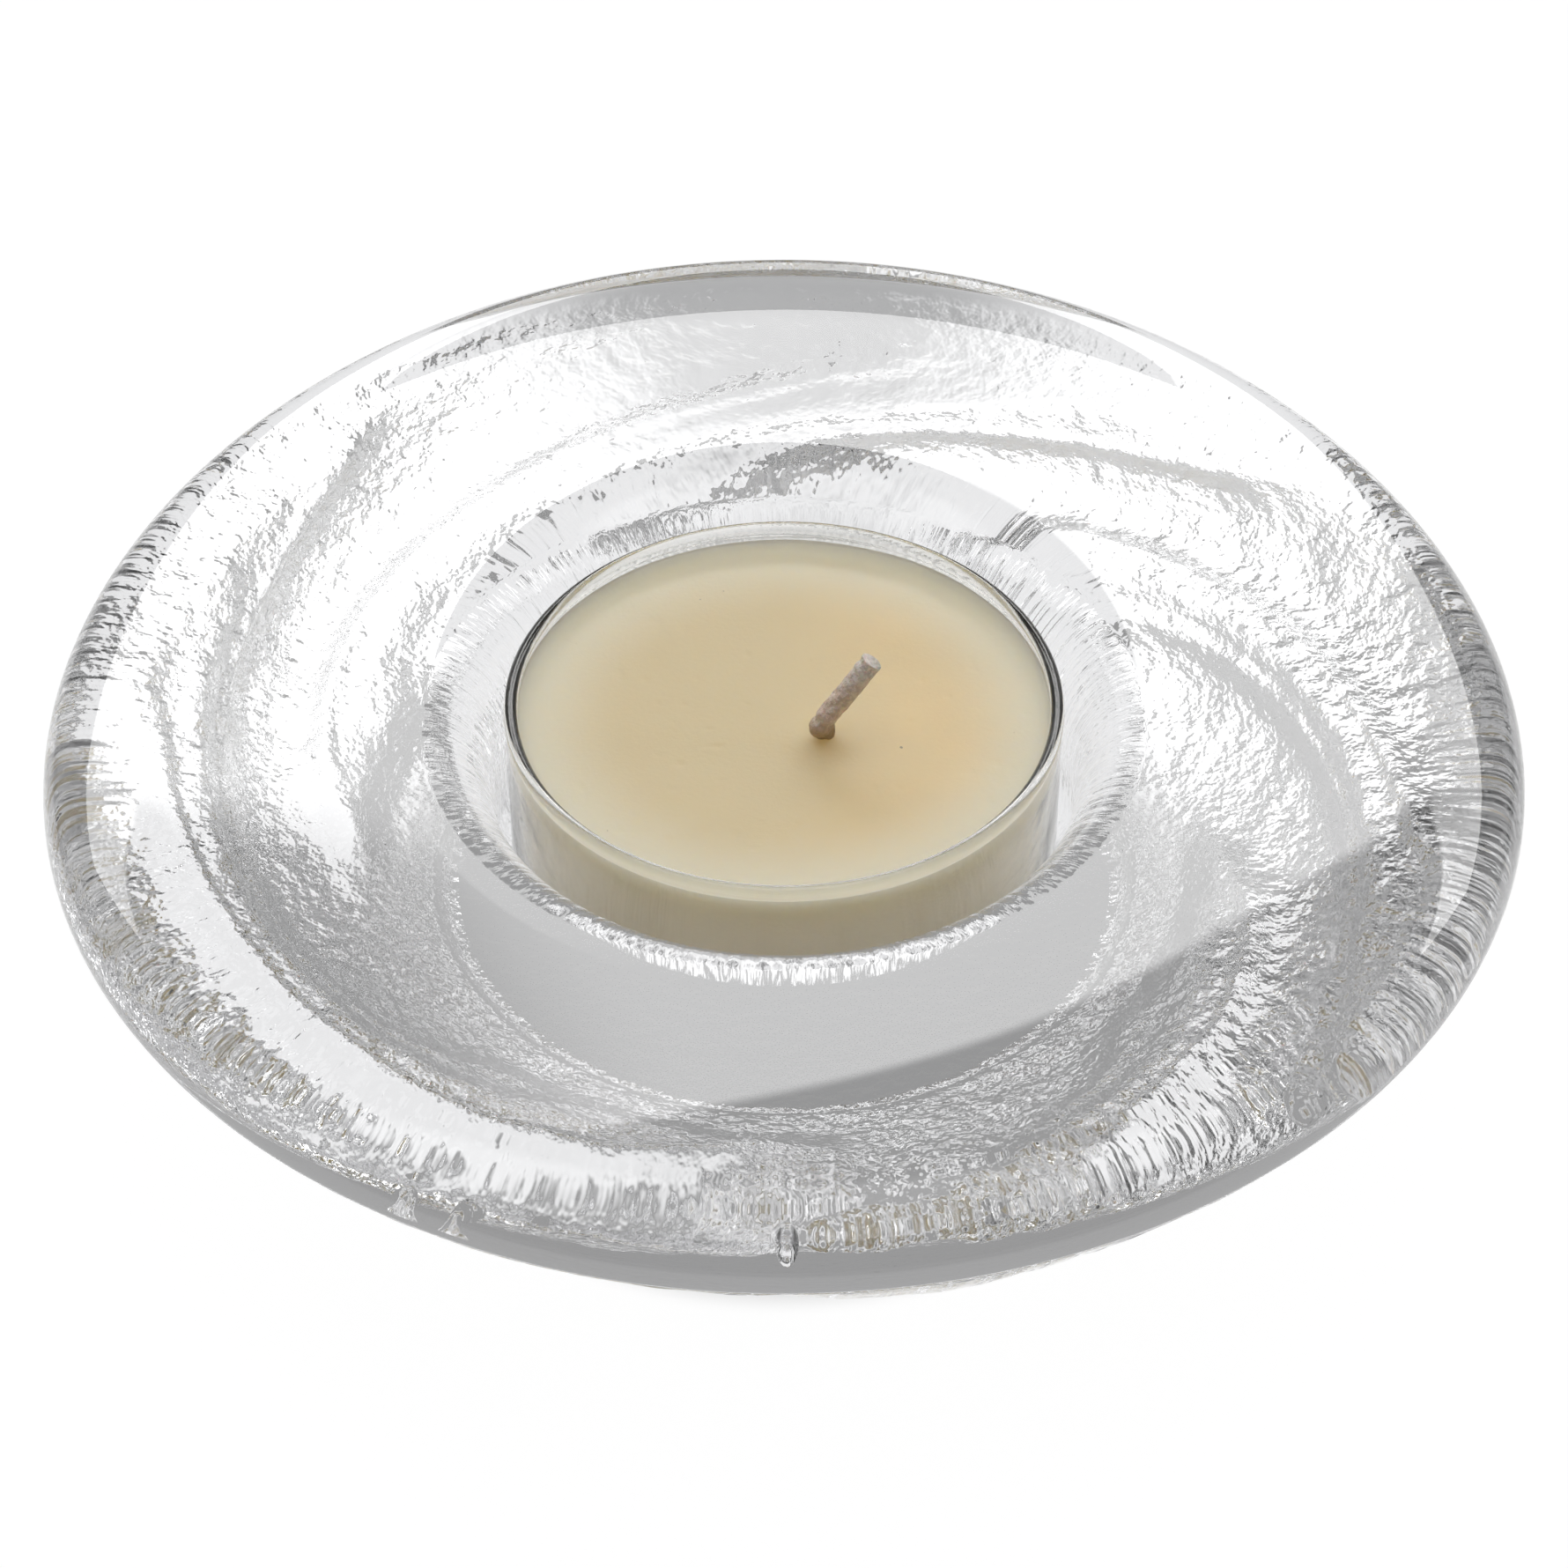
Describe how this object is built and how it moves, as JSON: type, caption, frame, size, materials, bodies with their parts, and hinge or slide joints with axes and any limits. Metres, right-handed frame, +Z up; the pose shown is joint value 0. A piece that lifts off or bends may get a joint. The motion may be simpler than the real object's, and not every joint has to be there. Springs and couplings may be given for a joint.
{
  "type": "tealight holder",
  "caption": "Thick clear cast-glass disc on a flat base, with a spiral relief pressed into its underside, holding a clear-cup tealight in a round well.",
  "frame": {"origin": "middle of the flat glass base, on the surface it stands on", "axes": "+Z up along the disc's axis; +Y towards the back of the view, so that the wick leans towards +X"},
  "size_m": [0.106, 0.106, 0.038],
  "materials": {
    "holder_glass": "fire-polished clear crystal, chill-wrinkled underside",
    "cup_clear": "clear moulded plastic, glossy",
    "wax": "satin cream candle wax, translucent at the edges",
    "wick_cotton": "waxed braided cotton",
    "foot_metal": "thin stamped tinplate"
  },
  "bodies": {
    "holder": {"glass_holder": "holder_glass"},
    "tealight": {"tealight_cup": "cup_clear", "wax_fill": "wax", "wick": "wick_cotton", "wick_foot": "foot_metal"}
  },
  "joints": [
    {"name": "tealight_lift", "type": "slide", "parent": "holder", "child": "tealight", "axis": [0, 0, 1], "range_m": [0, 0.04]}
  ]
}
